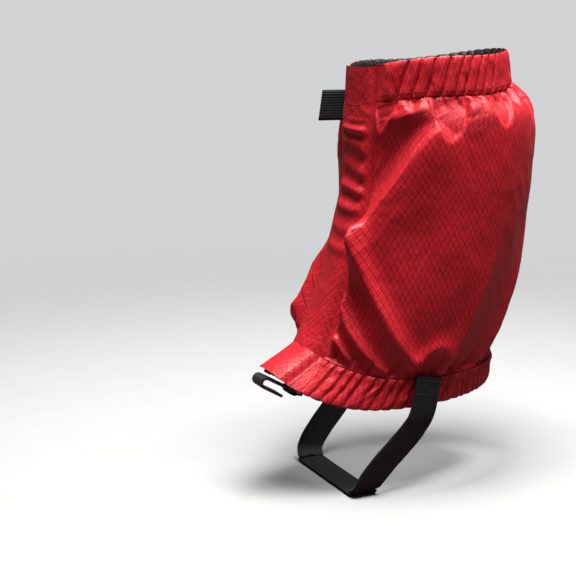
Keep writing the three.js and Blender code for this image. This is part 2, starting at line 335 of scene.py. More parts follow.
def pleat_field(degrees, pleats, width):
    """0 on the crests and down to -1 in the sharp valleys."""
    total = np.zeros(np.broadcast(degrees, width).shape)
    for place, depth in pleats:
        valley = np.exp(-(np.abs(degrees - place) * MM_PER_DEGREE / width) ** 1.4)
        total = np.minimum(total, -depth * valley)
    return total


UPPER_GATHERS = with_small_pleats(UPPER_PLEATS, 8, seed=21)
LOWER_GATHERS = with_small_pleats(LOWER_PLEATS, 5.5, seed=22)
RUFFLES = with_small_pleats(tuple(range(12, 344, 12)), 2.9, seed=23)
TOP_SEAM_LIFT, BOTTOM_SEAM_LIFT = 1.4, 2.0


def seam_line(degrees, lift, pleats):
    """Height at which a body edge and its casing are sewn together, gathered by the elastic."""
    return lift + 1.2 * pleat_field(degrees, pleats, 1.1) + 0.7 * pleat_field(degrees, RUFFLES, 0.8)


def share_between(degrees, places):
    """Share of the way from the pleat before to the pleat after."""
    edges = np.array([8, *places, 352])
    i = np.clip(np.searchsorted(edges, degrees) - 1, 0, len(edges) - 2)
    return np.clip((degrees - edges[i]) / (edges[i + 1] - edges[i]), 0, 1)


def pillow_field(degrees, places):
    """1 in the middle between two neighbouring pleats and 0 at each pleat."""
    share = share_between(degrees, places)
    return np.sqrt(4 * share * (1 - share))


class Fold:
    """A sharp crest along a curve of three (degrees, level) points. It stands heights millimetres
    proud at its start, middle and end, and falls off gently over `lee` millimetres on its left
    and steeply over `slope` on its right."""

    def __init__(self, start, middle, end, heights, lee, slope):
        self.points = (start, middle, end)
        self.heights = heights
        self.lee = lee
        self.slope = slope

    def mix(self, t, values):
        a, b, c = values
        return (1 - t) ** 2 * a + 2 * t * (1 - t) * b + t * t * c

    def raise_cloth(self, u, v):
        best = np.full(u.shape, 1e9)
        rise = np.zeros(u.shape)
        steps = np.linspace(0, 1, 60)
        along = self.mix(steps, [p[0] * MM_PER_DEGREE for p in self.points])
        up = self.mix(steps, [p[1] * BODY_HEIGHT for p in self.points])
        for k, t in enumerate(steps):
            du, dv = u - along[k], v - up[k]
            distance = np.hypot(du, dv)
            n = min(k, len(steps) - 2)
            side = (along[n + 1] - along[n]) * dv - (up[n + 1] - up[n]) * du
            fall = np.where(side > 0, (distance / self.lee) ** 1.8, (distance / self.slope) ** 1.25)
            height = self.mix(t, self.heights) * np.exp(-fall)
            nearer = distance < best
            best = np.where(nearer, distance, best)
            rise = np.where(nearer, height, rise)
        return rise


# The long folds of the body. The first is the step that runs down to the flap's root, the next
# ones fan out from the root to the lower seam.
LATERAL_FOLDS = (
    Fold((72, 0.86), (44, 0.82), (22, 0.47), (1, 10, 11.5), 21, 7.5),
    Fold((56, 0.88), (39, 0.80), (14, 0.64), (-1, -3.6, -1.5), 8, 10),
    Fold((20, 0.90), (36, 0.86), (58, 0.93), (2, 4, 1.5), 14, 10),
    Fold((21, 0.49), (30, 0.34), (78, 0.07), (11.5, 7.5, 3.5), 5, 8),
    Fold((19, 0.32), (27, 0.19), (62, 0.03), (8, 6.5, 3), 3.5, 6.5),
    Fold((18, 0.16), (27, 0.13), (42, 0.03), (5, 5, 2), 3, 4.5),
    Fold((96, 0.02), (97, 0.18), (106, 0.46), (4, 4.5, 0.5), 9, 4),
    Fold((76, 0.06), (84, 0.22), (94, 0.09), (3, 4.5, 2), 6, 4.5),
    Fold((12, 0.60), (17, 0.66), (24, 0.74), (1, 3.5, 0.5), 4, 4),
    Fold((10, 0.52), (14, 0.56), (20, 0.60), (1, 3, 0.5), 3.5, 3.5),
)
REAR_FOLDS = (
    Fold((128, 0.05), (140, 0.28), (150, 0.55), (3.5, 4.5, 0.4), 9, 4.5),
    Fold((185, 0.04), (172, 0.24), (166, 0.50), (3.5, 4.5, 0.4), 5, 9),
    Fold((160, 0.88), (172, 0.74), (196, 0.60), (2, 5.5, 1), 20, 6),
    Fold((218, 0.94), (206, 0.80), (190, 0.70), (3, 4, 0.4), 5, 10),
    Fold((232, 0.04), (226, 0.26), (236, 0.46), (3.5, 4, 0.4), 5, 8),
)
MEDIAL_FOLDS = (
    Fold((292, 0.88), (314, 0.80), (340, 0.60), (1, 5.5, 0.5), 7, 24),
    Fold((276, 0.04), (300, 0.24), (338, 0.40), (3.5, 5.5, 2), 5, 7),
    Fold((250, 0.05), (262, 0.24), (256, 0.48), (3.5, 4.5, 0.4), 4.5, 9),
    Fold((304, 0.03), (322, 0.12), (342, 0.22), (3, 5, 3), 4, 5),
)


# Where the upper elastic pulls the cloth in, the body slopes out from the seam in a rounded
# tongue: (degrees, half width, length, depth at the seam), in millimetres.
TONGUES = (
    (31, 11, 33, 9.0), (50, 8, 15, 4.0), (74, 15, 40, 10.0), (92, 6, 12, 3.5), (109, 13, 32, 8.5),
    (127, 9, 18, 4.5),
    (150, 17, 34, 7.5), (181, 13, 25, 6.0), (210, 18, 36, 7.5), (240, 12, 21, 5.0),
    (268, 16, 32, 7.0), (300, 18, 36, 7.5), (331, 11, 22, 5.0),
)
TONGUE_LEAN = 0.2         # degrees that a tongue moves forwards for each millimetre down
TONGUE_SIDE = 6           # millimetres over which the cloth turns out of a tongue


def tongue_field(degrees, down):
    """How far the cloth lies in below its full height, deepest at the seam."""
    total = np.zeros(degrees.shape)
    for place, half, length, depth in TONGUES:
        forwards = -TONGUE_LEAN if place < 180 else TONGUE_LEAN
        aside = np.abs(degrees - place - forwards * down) * MM_PER_DEGREE
        inside = half * np.sqrt(np.clip(1 - (down / length) ** 2, 0, 1)) - aside
        slope = depth * np.clip(1 - down / length, 0, 1) ** 0.8
        total = np.maximum(total, slope * smoothstep(inside / TONGUE_SIDE))
    return total


def front_room(columns, reach):
    """0 at both front edges of the cloth, under the flap, rising to 1 over `reach` millimetres."""
    return smoothstep((HALF_CLOTH - FLAP_LAP - np.abs(columns)) / reach)


MEDIAL_BAG = 11.0         # how far the slack cloth stands out low on the inner side
MEDIAL_TOP = 3.4          # and high on it
SLACK_BACK = 4.6          # how far it sinks in behind the ankle
SHOULDER = 3.6            # how far it stands out just below the upper seam


def sculpt_body(levels, angles, columns):
    """Height of the cloth over the leg surface before it settles."""
    degrees = np.degrees(angles)
    up = levels[:, None] * BODY_HEIGHT
    down = BODY_HEIGHT - up
    u = degrees * MM_PER_DEGREE
    v = up + 0 * degrees
    folds = np.zeros(u.shape)
    for fold in (*LATERAL_FOLDS, *REAR_FOLDS, *MEDIAL_FOLDS):
        folds += fold.raise_cloth(u, v)
    folds += 0.8 * lumps(u, v, 34, 46, seed=11) + 0.4 * lumps(u, v, 17, 22, seed=12)
    medial_bag = bump(levels[:, None] - 0.22, 0.14) * smoothstep((columns - 80) / 90)
    medial_top = bump(levels[:, None] - 0.78, 0.09) * smoothstep((columns - 120) / 60)
    slack_back = bump(degrees - 132, 32) * bump(levels[:, None] - 0.32, 0.28)
    wall = 0.6 + folds + SHOULDER * bump(down - 12, 16) - SLACK_BACK * slack_back
    wall = wall + MEDIAL_BAG * medial_bag + MEDIAL_TOP * medial_top
    below, above = np.maximum(down, 0), np.maximum(up, 0)
    upper = pillow_field(degrees + PLEAT_LEAN * down / 60, UPPER_PLEATS)
    lower = pillow_field(degrees, LOWER_PLEATS)
    out_of_top = TOP_SEAM_LIFT + below * (0.85 + 0.85 * upper)
    out_of_bottom = BOTTOM_SEAM_LIFT + above * (0.22 + 0.35 * lower)
    height = smooth_min(smooth_min(wall, out_of_top, 0.5), out_of_bottom, 0.5)
    height = np.maximum(height - tongue_field(degrees, below), np.minimum(height, 1.0))
    height += 1.6 * pleat_field(degrees, UPPER_GATHERS, 1.3 + 0.20 * below) * bump(down - 6, 9)
    height += 1.9 * pleat_field(degrees, LOWER_GATHERS, 1.3 + 0.18 * above) * bump(up - 7, 12)
    seams = ((down, TOP_SEAM_LIFT, UPPER_GATHERS), (up, BOTTOM_SEAM_LIFT, LOWER_GATHERS))
    for distance, lift, pleats in seams:
        sewn = 1 - smoothstep(distance / 4)
        height = height * (1 - sewn) + seam_line(degrees, lift, pleats) * sewn
        height -= 0.5 * smoothstep(-distance / (SEAM_TUCK * BODY_HEIGHT))
    edge = front_room(columns, 6)
    return height * edge + 0.5 * (1 - edge)


def refine(coarse, shape):
    """A grid stretched to a finer shape by cubic interpolation, rows first."""
    for axis in (0, 1):
        old = coarse.shape[axis]
        place = np.linspace(0, old - 1, shape[axis])
        i = np.clip(place.astype(int), 0, old - 2)
        f = (place - i).reshape([-1 if a == axis else 1 for a in range(3)])
        take = lambda k: np.take(coarse, np.clip(i + k, 0, old - 1), axis=axis)
        coarse = spline(take(-1), take(0), take(1), take(2), f)
    return coarse


def settle(start, pattern, held):
    """Where cloth of the pattern's size comes to rest from the start; held is 1 where it is sewn.
    Blender's own stiffness and damping suit thin nylon; the cloth is light and the air thick."""
    mesh = bpy.data.meshes.new("cloth_trial")
    index = np.arange(start[..., 0].size).reshape(start.shape[:2])
    mesh.from_pydata((start * MM).reshape(-1, 3).tolist(), [], grid_faces(index).tolist())
    obj = link("cloth_trial", mesh)
    obj.shape_key_add(name="start")
    key = obj.shape_key_add(name="pattern")
    key.data.foreach_set("co", (pattern * MM).reshape(-1).astype(np.float32))
    group = obj.vertex_groups.new(name="held")
    for value in np.unique(held):
        group.add(np.flatnonzero(held.reshape(-1) == value).tolist(), float(value), "REPLACE")
    cloth = obj.modifiers.new("cloth", "CLOTH")
    cloth.settings.mass = 0.1
    cloth.settings.air_damping = 3
    cloth.settings.use_pressure = True
    cloth.settings.rest_shape_key = key
    cloth.settings.vertex_group_mass = "held"
    cloth.settings.effector_weights.gravity = 0.2
    cloth.collision_settings.use_collision = False
    cloth.point_cache.frame_start = 1
    cloth.point_cache.frame_end = SETTLE_FRAMES
    for step in range(1, SETTLE_FRAMES + 1):
        bpy.context.scene.frame_set(step)
    settled = obj.evaluated_get(bpy.context.evaluated_depsgraph_get()).to_mesh()
    flat = np.zeros(start.size, np.float32)
    settled.vertices.foreach_get("co", flat)
    bpy.context.scene.frame_set(1)
    bpy.data.objects.remove(obj)
    return flat.reshape(start.shape).astype(float) / MM


def widen(points, levels):
    """The cloth's own size: the leg surface with the gathered width added, ring by ring."""
    wide = points.copy()
    middle = points.mean(axis=1, keepdims=True)
    scale = gather(levels)[:, None]
    for axis in (0, 1):
        wide[..., axis] = middle[..., axis] + (points[..., axis] - middle[..., axis]) * scale
    return wide


def body_cloth():
    levels = np.linspace(-SEAM_TUCK, 1 + SEAM_TUCK, BODY_ROWS)
    angles = wrap_angles(levels)
    columns = cloth_columns()
    leg = skin(angles, levels)
    out = normals_of(leg)
    start = leg + out * sculpt_body(levels, angles, columns)[..., None]
    few = start[::COARSE, ::COARSE]
    pattern = widen(few, levels[::COARSE])
    held = np.full(few.shape[:2], INNER_HOLD)
    held[[0, -1], :] = 1
    held[:, [0, -1]] = 1
    moved = np.clip(settle(few, pattern, held) - few, -SETTLE_REACH, SETTLE_REACH)
    start = start + refine(moved, start.shape[:2])
    u = cloth_grain(levels, angles, columns)
    v = levels[:, None] * BODY_HEIGHT + 0 * u
    near_seam = bump(v, 9) + bump(BODY_HEIGHT - v, 9)
    room = front_room(columns, 7) * smoothstep(v / 4) * smoothstep((BODY_HEIGHT - v) / 4)
    near_root = bump(HALF_CLOTH - np.abs(columns), 30) * bump(v - 60, 75)
    crinkle = (0.35 + 0.7 * near_seam + 0.7 * near_root) * crumple(u, v, 12, seed=31)
    points = start + normals_of(start) * (crinkle * room)[..., None]
    return points, np.stack([u, v], axis=2)


def cloth_grain(levels, angles, columns):
    """Distance across the flat cloth, with the grain upright at the two sides of the leg."""
    side = np.array([np.interp(math.pi / 2, row, columns) for row in angles])
    rings = rings_at(levels)
    centre = (rings[:, 1] + rings[:, 4]) / 2
    middle = len(levels) // 2
    shift = side[middle] - side + centre - centre[middle]
    upright = shift[:, None] * smoothstep(np.abs(columns) / 80) * -np.sign(columns)
    return (columns[None, :] + upright) * gather(levels)[:, None]


def split_sides(points, uv):
    """The lateral and the medial half of something that goes round the leg, with shared normals."""
    normals = normals_of(points)
    middle = (points.shape[1] - 1) // 2
    for side, part in (("lateral", slice(0, middle + 1)), ("medial", slice(middle, None))):
        yield side, points[:, part], uv[:, part], normals[:, part]


# ------------------------------------------------------------------ materials
class Nodes:
    """Short calls for building a material's node tree."""

    def __init__(self, name):
        self.material = bpy.data.materials.new(name)
        self.material.use_nodes = True
        self.tree = self.material.node_tree
        self.shader = self.tree.nodes["Principled BSDF"]
        uv = self.tree.nodes.new("ShaderNodeUVMap")
        uv.uv_map = "cloth"
        self.uv = uv.outputs[0]
        split = self.tree.nodes.new("ShaderNodeSeparateXYZ")
        self.join(self.uv, split.inputs[0])
        self.u, self.v = split.outputs[0], split.outputs[1]

    def join(self, value, socket):
        if isinstance(value, bpy.types.NodeSocket):
            self.tree.links.new(value, socket)
        else:
            socket.default_value = value

    def math(self, operation, a, b=0.0, c=0.0):
        node = self.tree.nodes.new("ShaderNodeMath")
        node.operation = operation
        for socket, value in zip(node.inputs, (a, b, c)):
            self.join(value, socket)
        return node.outputs[0]

    def remap(self, value, low, high, to_low, to_high):
        node = self.tree.nodes.new("ShaderNodeMapRange")
        for socket, number in zip(node.inputs, (value, low, high, to_low, to_high)):
            self.join(number, socket)
        node.interpolation_type = "SMOOTHSTEP"
        return node.outputs[0]

    def noise(self, scale, detail=2.0, stretch=(1, 1, 1), object_space=False):
        """Noise with `scale` features a millimetre (or a metre, in object space)."""
        node = self.tree.nodes.new("ShaderNodeTexNoise")
        node.inputs["Scale"].default_value = scale
        node.inputs["Detail"].default_value = detail
        mapping = self.tree.nodes.new("ShaderNodeMapping")
        mapping.inputs["Scale"].default_value = stretch
        where = self.uv
        if object_space:
            where = self.tree.nodes.new("ShaderNodeTexCoord").outputs["Object"]
        self.join(where, mapping.inputs[0])
        self.join(mapping.outputs[0], node.inputs["Vector"])
        return node.outputs[0]

    def blend(self, amount, first, second):
        node = self.tree.nodes.new("ShaderNodeMix")
        node.data_type = "RGBA"
        self.join(amount, node.inputs[0])
        for value, socket in ((first, node.inputs[6]), (second, node.inputs[7])):
            self.join(value if isinstance(value, bpy.types.NodeSocket) else (*value, 1), socket)
        return node.outputs[2]

    def relief(self, height, distance, strength=1.0, under=None):
        """Bump of `distance` millimetres, stacked on the bump under it."""
        node = self.tree.nodes.new("ShaderNodeBump")
        node.inputs["Strength"].default_value = strength
        node.inputs["Distance"].default_value = distance * MM
        self.join(height, node.inputs["Height"])
        if under is not None:
            self.join(under, node.inputs["Normal"])
        return node.outputs[0]

    def set(self, name, value):
        self.join((*value, 1) if isinstance(value, tuple) else value, self.shader.inputs[name])

    def finish(self, **inputs):
        for name, value in inputs.items():
            self.set(name.replace("_", " ").title(), value)
        return self.material


DIAMOND_WIDE = 4.3
DIAMOND_TALL = 6.4


def heavy_yarns(n):
    """1 on the heavier yarns of the ripstop grid, which cross in tall diamonds."""
    across = n.math("DIVIDE", n.u, DIAMOND_WIDE)
    up = n.math("DIVIDE", n.v, DIAMOND_TALL)
    waves = [n.math("PINGPONG", n.math(way, across, up), 0.5) for way in ("ADD", "SUBTRACT")]
    return n.remap(n.math("MINIMUM", *waves), 0.02, 0.07, 1, 0)


def ripstop_nylon():
    """Red coated nylon: plain weave under the heavier yarns, shiny like satin."""
    n = Nodes("red_ripstop_nylon")
    yarn = heavy_yarns(n)
    weave = n.math("MULTIPLY", n.math("SINE", n.math("MULTIPLY", n.u, 14)),
                   n.math("SINE", n.math("MULTIPLY", n.v, 14)))
    blotch = n.noise(0.05, 3)
    shade = n.blend(blotch, (0.54, 0.012, 0.022), (0.68, 0.020, 0.034))
    glance = n.tree.nodes.new("ShaderNodeLayerWeight").outputs["Facing"]
    shown = n.math("MULTIPLY", yarn, n.remap(glance, 0.35, 0.80, 0.88, 0.25))
    colour = n.blend(shown, shade, (0.17, 0.002, 0.004))
    crease = n.noise(0.22, 4, (1, 0.6, 1))
    normal = n.relief(crease, 0.9, 0.5)
    normal = n.relief(yarn, 0.12, 0.8, normal)
    normal = n.relief(weave, 0.03, 0.6, normal)
    rough = n.remap(n.noise(0.6, 3), 0.3, 0.7, 0.30, 0.42)
    n.set("Specular IOR Level", 0.75)
    n.set("Specular Tint", (1, 0.50, 0.48))
    n.set("Sheen Weight", 0.06)
    n.set("Sheen Roughness", 0.35)
    n.set("Sheen Tint", (1, 0.35, 0.3))
    return n.finish(base_color=colour, roughness=rough, normal=normal)


def inside_shade_cloth():
    """The inside of the cloth, coloured almost black as painted shade of the gaiter's interior, with the
    diamonds just showing.
    """
    n = Nodes("inside_shade_cloth")
    yarn = heavy_yarns(n)
    colour = n.blend(n.noise(0.1, 3), (0.009, 0.006, 0.007), (0.018, 0.010, 0.011))
    colour = n.blend(n.math("MULTIPLY", yarn, 0.5), colour, (0.008, 0.005, 0.006))
    normal = n.relief(n.noise(0.3, 4), 0.6, 0.4)
    normal = n.relief(yarn, 0.08, 0.7, normal)
    n.set("Specular IOR Level", 0.25)
    return n.finish(base_color=colour, roughness=0.5, normal=normal)


def webbing(name, rib, shade, roughness):
    """Black woven tape with ribs along u, every `rib` millimetres, and a fine twill across."""
    n = Nodes(name)
    ribs = n.math("SINE", n.math("MULTIPLY", n.u, 2 * math.pi / rib))
    twill = n.math("SINE", n.math("MULTIPLY", n.math("ADD", n.v, n.math("MULTIPLY", n.u, 0.6)), 7))
    # The rib grooves are coloured darker than the crests: painted shade along the ribs.
    colour = n.blend(n.remap(ribs, -1, 1, 0, 1), (0.005, 0.005, 0.006), shade)
    colour = n.blend(n.math("MULTIPLY", n.noise(0.8, 4), 0.4), colour, (0.016, 0.016, 0.019))
    normal = n.relief(ribs, 0.10, 0.8)
    normal = n.relief(twill, 0.05, 0.7, normal)
    normal = n.relief(n.noise(3, 2), 0.08, 0.6, normal)
    n.set("Sheen Weight", 0.05)
    n.set("Specular IOR Level", 0.3)
    return n.finish(base_color=colour, roughness=roughness, normal=normal)


def tape_pile(name, scale, shade, height):
    """Hook or loop tape: a black field of tiny tufts."""
    n = Nodes(name)
    tufts = n.tree.nodes.new("ShaderNodeTexVoronoi")
    tufts.inputs["Scale"].default_value = scale
    n.join(n.uv, tufts.inputs["Vector"])
    field = n.remap(tufts.outputs["Distance"], 0.1, 0.6, 1, 0)
    # The gaps between the tufts are coloured darker than their tops: painted shade.
    colour = n.blend(field, (0.003, 0.003, 0.003), shade)
    normal = n.relief(field, height, 1.0)
    return n.finish(base_color=colour, roughness=0.85, normal=normal)


def dark_metal():
    """Black lacquered steel, rubbed through to grey along its edges."""
    n = Nodes("dark_hook_metal")
    geometry = n.tree.nodes.new("ShaderNodeNewGeometry")
    worn = n.remap(geometry.outputs["Pointiness"], 0.51, 0.58, 0, 1)
    spots = n.noise(900, 4, object_space=True)
    wear = n.math("MULTIPLY", worn, n.remap(spots, 0.4, 0.6, 0.2, 1))
    colour = n.blend(wear, (0.010, 0.010, 0.012), (0.09, 0.09, 0.10))
    rough = n.remap(n.noise(1500, 3, object_space=True), 0.3, 0.7, 0.28, 0.42)
    normal = n.relief(n.noise(2500, 2, object_space=True), 0.04, 0.5)
    return n.finish(base_color=colour, roughness=rough, metallic=0.6, normal=normal)


def twisted_thread(name, dark, light):
    n = Nodes(name)
    twist = n.noise(4000, 2, object_space=True)
    # The colour follows the twist's relief, lighter on the raised strands and darker between them:
    # painted highlight and shade.
    colour = n.blend(twist, dark, light)
    return n.finish(base_color=colour, roughness=0.6, normal=n.relief(twist, 0.05, 0.6))


NYLON = ripstop_nylon()
# The back faces of all the cloth: near-black painted shade of the inside.
INSIDE_SHADE = inside_shade_cloth()
WEBBING = webbing("black_webbing", 1.7, (0.012, 0.012, 0.014), 0.72)
ELASTIC = webbing("black_elastic", 1.0, (0.010, 0.010, 0.012), 0.62)
HOOK_TAPE = tape_pile("black_hook_tape", 1.1, (0.020, 0.020, 0.022), 0.5)
LOOP_TAPE = tape_pile("black_loop_tape", 2.0, (0.030, 0.030, 0.033), 0.35)
METAL = dark_metal()
RED_THREAD = twisted_thread("red_thread", (0.22, 0.005, 0.010), (0.48, 0.015, 0.022))
BLACK_THREAD = twisted_thread("black_thread", (0.010, 0.010, 0.012), (0.05, 0.05, 0.055))


# ------------------------------------------------------------------ stitches
STITCH_PITCH = 2.9
STITCH_LENGTH = 2.1
STITCH_RADIUS = 0.22
STITCH_SIDES = 6


def stitches(name, path, out, thread):
    """A row of short threads lying along a path of points, pressed into the cloth."""
    length = lengths_along(path)
    places = np.arange(STITCH_PITCH / 2, length[-1] - STITCH_PITCH / 2, STITCH_PITCH)
    sample = lambda table, s: np.stack([np.interp(s, length, table[:, k]) for k in range(3)], axis=-1)
    centre = sample(path, places)
    along = unit(sample(path, places + 0.4) - sample(path, places - 0.4))
    normal = unit(sample(out, places))
    beside = np.cross(normal, along)
    rings = np.array([-1, -0.7, 0, 0.7, 1])[:, None, None]
    girth = STITCH_RADIUS * np.sqrt(1.02 - rings**2)
    turn = (np.arange(STITCH_SIDES) * 2 * math.pi / STITCH_SIDES)[:, None]
    c, a, b, o = (table[:, None, None] for table in (centre, along, beside, normal))
    middle = c + a * rings * STITCH_LENGTH / 2 + o * (0.10 - 0.25 * rings**2)
    vertices = middle + girth * (b * np.cos(turn) + o * np.sin(turn))
    index = np.arange(vertices[..., 0].size).reshape(vertices.shape[:3])
    after = np.roll(index, -1, axis=2)
    walls = np.stack([index[:, :-1], index[:, 1:], after[:, 1:], after[:, :-1]], axis=3)
    ends = [*index[:, 0].tolist(), *index[:, -1, ::-1].tolist()]
    mesh = bpy.data.meshes.new(name)
    mesh.from_pydata((vertices * MM).reshape(-1, 3).tolist(), [], walls.reshape(-1, 4).tolist() + ends)
    mesh.materials.append(thread)
    mesh.shade_smooth()
    obj = link(name, mesh)
    return obj


# ------------------------------------------------------------------ casings
BAND_ROWS = 44
STITCH_ROW = 2            # rows of the casing in from its seam
BAND_FULLNESS = 3.0       # how far the pillows between the pleats stand out
ELASTIC_ROWS = 9


def band_profile():
    """Round a folded casing from its outer seam over the fold to its inner seam: the share of the
    height, 0 at the seam and 1 at the fold, and the fullness, 1 outside and -1 inside."""
    turn = np.linspace(0, 1, BAND_ROWS)
    rise = np.sin(math.pi / 2 * (1 - np.abs(2 * turn - 1) ** 1.1))
    full = np.sqrt(np.clip(1 - rise**5, 0, 1)) * smoothstep(0.45 + rise / 0.4)
    return rise, np.where(turn < 0.5, full, -full)


def shingle_field(degrees, pleats):
    """Each pleat swells slowly and drops off sharply into the next one; between 0 and 1."""
    share = share_between(degrees, [place for place, _ in pleats])
    return 1.55 * share**0.7 * (1 - share) ** 0.32


def band_cloth(seam, fold, lift, pleats, lean, stand, seed):
    """A gathered casing all the way round, from the lateral front edge to the medial one. Its
    fold stands higher on the lateral side by `stand` and lower on the medial side."""
    rise, full = band_profile()
    levels = seam + (fold - seam) * rise
    angles = wrap_angles(levels)
    columns = cloth_columns()
    degrees = np.degrees(angles)
    out = leg_normals(angles, levels)
    room, edge = front_room(columns, 12), front_room(columns, 6)
    rise, full = rise[:, None], full[:, None]
    slanted = degrees - lean * rise + 1.5 * lumps(degrees, 20 * rise, 15, 9, seed) * rise
    pillow = shingle_field(slanted, pleats)
    valleys = pleat_field(slanted, pleats, 1.1 + 0 * degrees)
    swell = (0.35 + 0.65 * room) * (0.35 + 0.65 * pillow * room + 0.60 * valleys * room)
    u = columns[None, :] * 1.3 + 0 * degrees
    v = lengths_along(skin(angles, levels))
    small = crumple(u, v, 9, seed + 1) * room * smoothstep(rise / 0.3)
    sewn = (seam_line(degrees, lift, pleats) * edge + 0.5 * (1 - edge)) * bump(rise, 0.22)
    spare = smoothstep(np.minimum(rise, 1 - rise) / 0.2)
    relief = np.maximum(BAND_FULLNESS * (swell - 0.25) + 0.9 * small, 0.35 - 0.75 * spare)
    height = full * (relief * room + 0.4 * (1 - room)) + sewn
    outside, inside = np.maximum(height, -0.5), np.minimum(height, -2.6)
    height = height * (1 - spare) + spare * np.where(full > 0, outside, inside)
    points = skin(angles, levels) + out * height[..., None]
    scallop = (1.0 * pillow - 0.6) * smoothstep((rise - 0.55) / 0.45) * room
    points[..., 2] += np.sign(fold - seam) * scallop + stand * np.sin(angles) * rise
    if fold < seam:
        points, u, v = points[::-1], u[::-1], v[::-1]
    return points, np.stack([u, v], axis=2)


def elastic_band(low, high):
    """The flat elastic inside a casing, crimped by the gathers."""
    levels = np.linspace(low, high, ELASTIC_ROWS)
    angles = wrap_angles(levels)
    columns = cloth_columns()
    ripple = 0.35 * np.sin(columns * 2 * math.pi / 5.5) * front_room(columns, 8)
    points = skin(angles, levels) + leg_normals(angles, levels) * (ripple - 1.0)[None, :, None]
    u = height_of(levels)[:, None] + 0 * columns
    return points, np.stack(np.broadcast_arrays(u, columns[None, :]), axis=2)


def build_body():
    for side, part, flat, normals in split_sides(*body_cloth()):
        piece = sheet(f"{side}_body_cloth", part, CLOTH, flat, NYLON, INSIDE_SHADE, normals)
        stand_for(piece, side, "panel")


def build_band(place, turned, row, **shape):
    """One casing, with the rows that are turned to the inside and a row of stitches."""
    for side, part, flat, normals in split_sides(*band_cloth(**shape)):
        piece = sheet(f"{side}_{place}_band", part, CLOTH, flat, NYLON, INSIDE_SHADE,
                      normals, turned)
        stand_for(piece, side, f"{place}_casing")
        sewn = slice(4, -2) if side == "lateral" else slice(2, -4)
        thread = stitches(f"{side}_{place}_band_stitches", part[row, sewn], normals[row, sewn],
                          RED_THREAD)
        follow_side(thread)


def build_elastic(place, low, high):
    for side, part, flat, normals in split_sides(*elastic_band(low, high)):
        piece = sheet(f"{side}_{place}_elastic_band", part, 1.0, flat, ELASTIC, None,
                      normals)
        stand_for(piece, side, f"{place}_elastic")


def build_leg():
    build_body()
    half = BAND_ROWS // 2
    build_band("top", slice(half, None), STITCH_ROW, seam=UPPER_SEAM, fold=RIM, lift=TOP_SEAM_LIFT,
               pleats=UPPER_GATHERS, lean=PLEAT_LEAN, stand=2.4, seed=51)
    build_elastic("top", 1.09, 1.82)
    build_band("bottom", slice(0, half), -1 - STITCH_ROW, seam=LOWER_SEAM, fold=HEM,
               lift=BOTTOM_SEAM_LIFT, pleats=LOWER_GATHERS, lean=3, stand=0, seed=61)
    build_elastic("bottom", -0.82, -0.09)


# ------------------------------------------------------------------ front closure
PLACKET_RISE = 3.9        # outer face of the flap over the leg surface
ROOT_RISE = 0.8           # and where it is sewn to the body
FLAP_ROWS = 206           # between the two seams
CASING_ROWS = 28          # over each casing
FLAP_COLUMNS = 34
EDGE_RIPPLE = 0.45        # sideways waves of the free edge
LADDER_LOW, LADDER_HIGH = 70, 168   # the ladder of puckers, up from the lower seam
PUCKER_PITCH, PUCKER_HEIGHT = 12.5, 2.1
LAYER_ROWS, LAYER_COLUMNS = 120, 18


def flap_height(x, v):
    """Height of the flap's face over the leg: down onto the body at its root, puckered above."""
    root = smoothstep((FLAP_ROOT_X + FLAP_LAP - x) / 6)
    lift = ROOT_RISE + (PLACKET_RISE - ROOT_RISE) * root
    ends = smoothstep((v + BAND_HEIGHT) / 6) * smoothstep((BODY_HEIGHT + BAND_HEIGHT - v) / 6)
    inner = smoothstep((x - FLAP_EDGE_X - 3.2) / 3) * smoothstep((FLAP_ROOT_X - x) / 4)
    ladder = smoothstep((v - LADDER_LOW) / 20) * smoothstep((LADDER_HIGH - v) / 14)
    warped = v + 3.5 * lumps(x, v, 26, 24, seed=74) + 0.16 * x
    wave = 0.5 - 0.5 * np.cos(2 * math.pi * warped / PUCKER_PITCH)
    strength = 0.75 + 0.5 * lumps(x, v, 24, 13, seed=75)
    puckers = PUCKER_HEIGHT * ladder * strength * wave**1.3 * inner
    small = (0.15 + 0.3 * inner) * crumple(x, v, 10, seed=72)
    edge_roll = -0.45 * bump(x - FLAP_EDGE_X - 3.8, 0.9) - 0.45 * bump(FLAP_ROOT_X - x, 0.9)
    height = lift + ends * (puckers + small + edge_roll)
    return np.maximum(height, lift - 0.45)


def build_flap():
    levels = np.concatenate([
        np.linspace(HEM, LOWER_SEAM, CASING_ROWS)[:-1],
        np.linspace(LOWER_SEAM, UPPER_SEAM, FLAP_ROWS),
        np.linspace(UPPER_SEAM, RIM, CASING_ROWS)[1:],
    ])
    root = FLAP_ROOT_X + FLAP_LAP
    leg, out, x, v = strip_points(FLAP_EDGE_X, root, levels, FLAP_COLUMNS)
    points = leg + out * flap_height(x, v)[..., None]
    near_edge = (root - x) / (root - FLAP_EDGE_X)
    points[..., 0] += EDGE_RIPPLE * lumps(0 * v, v, 1, 9, seed=73) * near_edge**3
    uv = np.stack([x, lengths_along(leg)], axis=2)
    flap = sheet("front_flap", points, CLOTH, uv, NYLON, INSIDE_SHADE)
    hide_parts("lower_flap", "upper_flap")
    follow_flap(flap)
    normals = normals_of(points)
    across = slice(5, FLAP_COLUMNS - 7)
    sewn = (
        ("edge", (slice(None), 4)),
        ("root", (slice(None), FLAP_COLUMNS - 6)),
        ("tab", (np.searchsorted(levels, UPPER_SEAM - 0.02), across)),
        ("rim", (np.searchsorted(levels, RIM - 0.12), across)),
    )
    for place, line in sewn:
        thread = stitches(f"flap_{place}_stitches", points[line], normals[line], RED_THREAD)
        follow_flap(thread)


